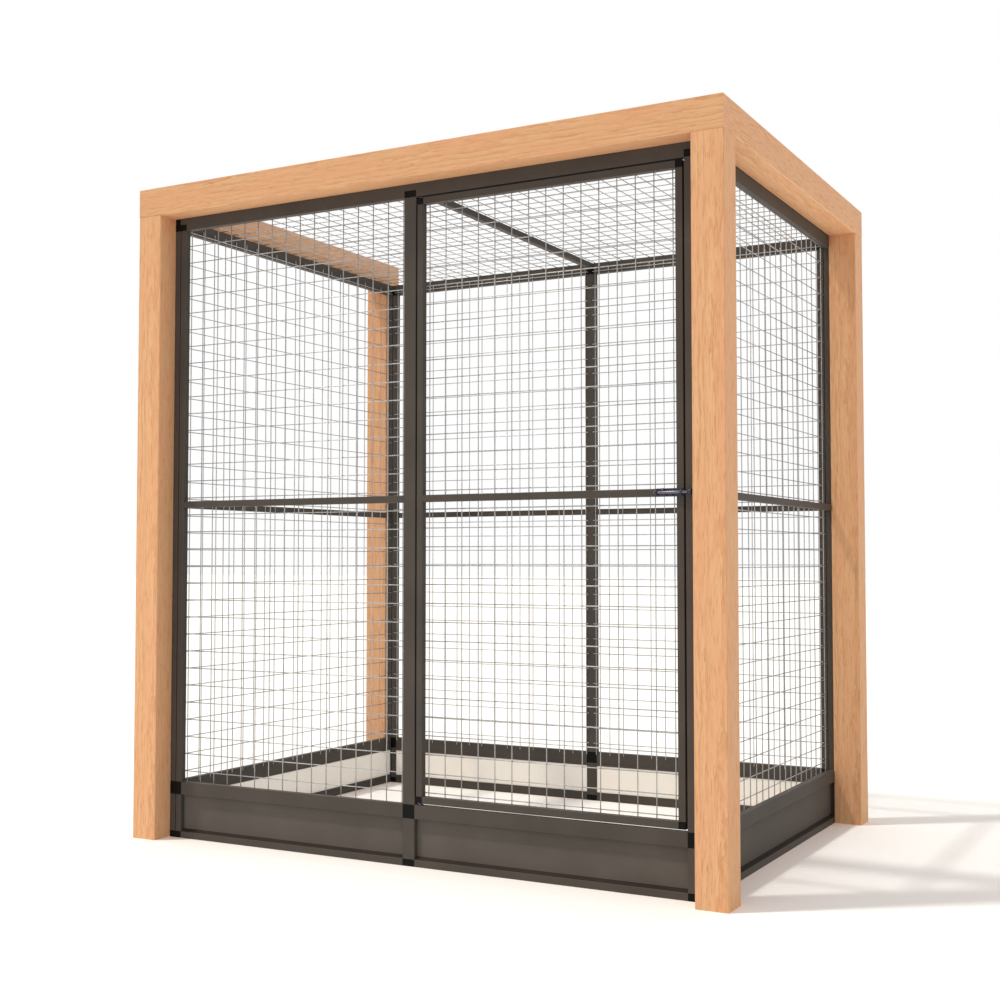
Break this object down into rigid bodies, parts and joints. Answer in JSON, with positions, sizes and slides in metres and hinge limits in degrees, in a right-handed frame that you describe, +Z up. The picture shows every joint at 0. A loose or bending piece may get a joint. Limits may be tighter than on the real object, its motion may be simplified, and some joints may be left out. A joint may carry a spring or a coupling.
{
  "type": "cat run",
  "caption": "Walk-in mesh cat run: a dark aluminium cage with kick boards and a hinged, bolted mesh door, standing inside a timber post and beam frame.",
  "frame": {"origin": "on the ground under the middle of the timber frame", "axes": "+X to the right along the front, +Y from the front into the depth, +Z up"},
  "size_m": [1.966, 1.39, 2.06],
  "materials": {
    "timber": "planed",
    "tube": "powder coated",
    "board": "satin",
    "moulding": "matte",
    "mesh": "galvanised",
    "latch": "satin",
    "steel": "plated",
    "screw": "plated",
    "bush": "matte"
  },
  "bodies": {
    "frame": {"beam_front": "timber", "beam_left": "timber", "beam_right": "timber", "beam_screws": "screw", "bottom_rails": "tube", "foot_connectors": "moulding", "keeper_screws": "screw", "kick_board_beads": "tube", "kick_board_front_left": "board", "kick_board_front_right": "board", "kick_boards_back": "board", "kick_boards_side": "board", "kick_connectors": "moulding", "kick_mullions": "tube", "kick_rail_front_left": "tube", "kick_rail_front_right": "tube", "kick_rails_back": "tube", "kick_rails_side": "tube", "kick_uprights": "tube", "latch_keeper": "latch", "mesh_back_left": "mesh", "mesh_back_right": "mesh", "mesh_front_left": "mesh", "mesh_left": "mesh", "mesh_right": "mesh", "mesh_roof_left": "mesh", "mesh_roof_right": "mesh", "mid_rail_front_left": "tube", "mid_rails_back": "tube", "mid_rails_side": "tube", "mullion_back": "tube", "mullion_front": "tube", "pivot_bushes": "bush", "post_back_left": "timber", "post_back_right": "timber", "post_front_left": "timber", "post_front_right": "timber", "roof_rail": "tube", "roof_rail_spigots": "moulding", "top_connectors": "moulding", "top_rail_back": "tube", "top_rail_front": "tube", "top_rail_left": "tube", "top_rail_right": "tube", "upright_back_left": "tube", "upright_back_right": "tube", "upright_front_left": "tube", "upright_front_right": "tube", "upright_screws": "screw"},
    "door": {"door_bottom_rail": "tube", "door_corner_blocks": "moulding", "door_hinge_stile": "tube", "door_latch_stile": "tube", "door_mesh": "mesh", "door_mid_rail": "tube", "door_pivot_pins": "steel", "door_top_rail": "tube", "latch_plate": "latch", "latch_screws": "screw"},
    "bolt": {"latch_bolt": "steel"}
  },
  "joints": [
    {"name": "door_hinge", "type": "hinge", "parent": "frame", "child": "door", "pos_m": [0.035, -0.615, 1.05], "axis": [0, 0, -1], "range_deg": [0, 105]},
    {"name": "bolt_slide", "type": "slide", "parent": "door", "child": "bolt", "axis": [1, 0, 0], "range_m": [-0.012, 0.012]}
  ]
}
